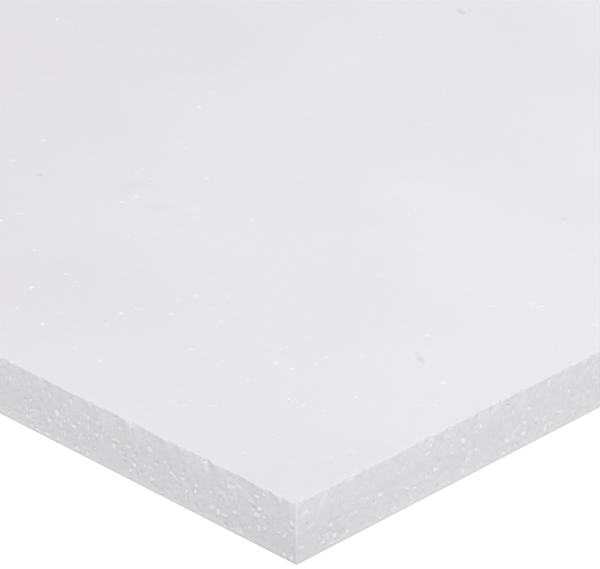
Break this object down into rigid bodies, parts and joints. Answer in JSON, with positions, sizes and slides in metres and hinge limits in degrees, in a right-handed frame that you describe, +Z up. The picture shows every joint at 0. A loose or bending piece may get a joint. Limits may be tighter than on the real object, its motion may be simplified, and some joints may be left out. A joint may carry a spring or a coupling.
{
  "type": "polystyrene foam board",
  "caption": "Flat white slab of expanded polystyrene beads with square-cut sides and lightly worn edges, to lay, stack or glue as packing, backing or craft board.",
  "frame": {"origin": "middle of the underside, on the surface that the board lies on", "axes": "+Z up through the thickness, X along the length and Y along the width, with the pictured corner at the lowest X and lowest Y"},
  "size_m": [0.5, 0.5, 0.025],
  "materials": {
    "foam": "matt white cut bead foam with fine glints"
  },
  "bodies": {
    "root": {"board": "foam"}
  },
  "joints": []
}
